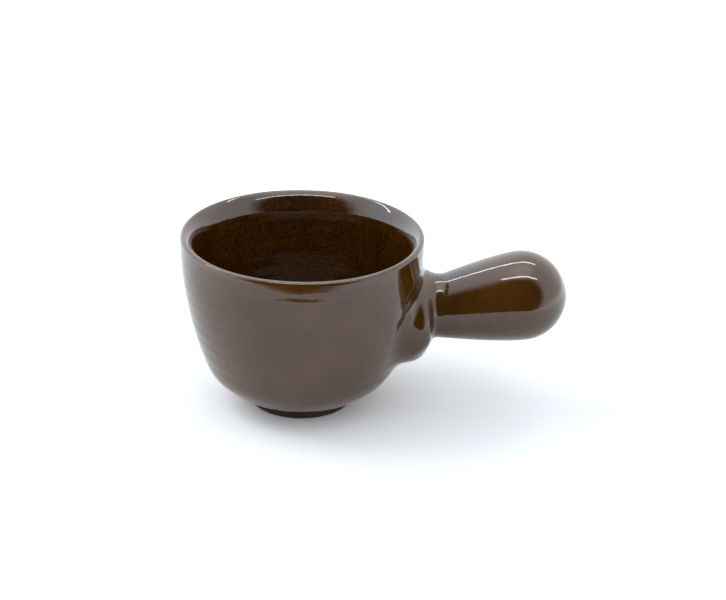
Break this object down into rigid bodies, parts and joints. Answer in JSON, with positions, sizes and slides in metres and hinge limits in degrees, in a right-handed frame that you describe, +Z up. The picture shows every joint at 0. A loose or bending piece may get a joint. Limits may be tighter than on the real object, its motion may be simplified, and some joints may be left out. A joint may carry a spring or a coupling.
{
  "type": "handled soup pot",
  "caption": "Deep glazed stoneware pot with a rounded rim, a low bare foot ring and a thick hollow stick handle that ends in a bulb.",
  "frame": {"origin": "centre of the foot ring, on the plane that the pot stands on", "axes": "+Z up along the bowl's axis, +X out along the handle, +Y completes a right-handed frame"},
  "size_m": [0.1752, 0.11, 0.082],
  "materials": {
    "clay": "fired stoneware body, matte",
    "bare_foot": "unglazed dark stoneware, matte and slightly worn",
    "joining_slip": "fired clay slip, matte",
    "liner_glaze": "glossy dark brown glaze with fine speckle",
    "brown_glaze": "glossy amber brown glaze with fine speckle"
  },
  "bodies": {
    "root": {"bowl_body": "clay", "foot_ring": "bare_foot", "handle_tube": "clay", "handle_collar": "clay", "wall_slip": "joining_slip", "collar_slip": "joining_slip", "liner_glaze": "liner_glaze", "outside_glaze": "brown_glaze", "collar_glaze": "brown_glaze", "handle_glaze": "brown_glaze"}
  },
  "joints": []
}
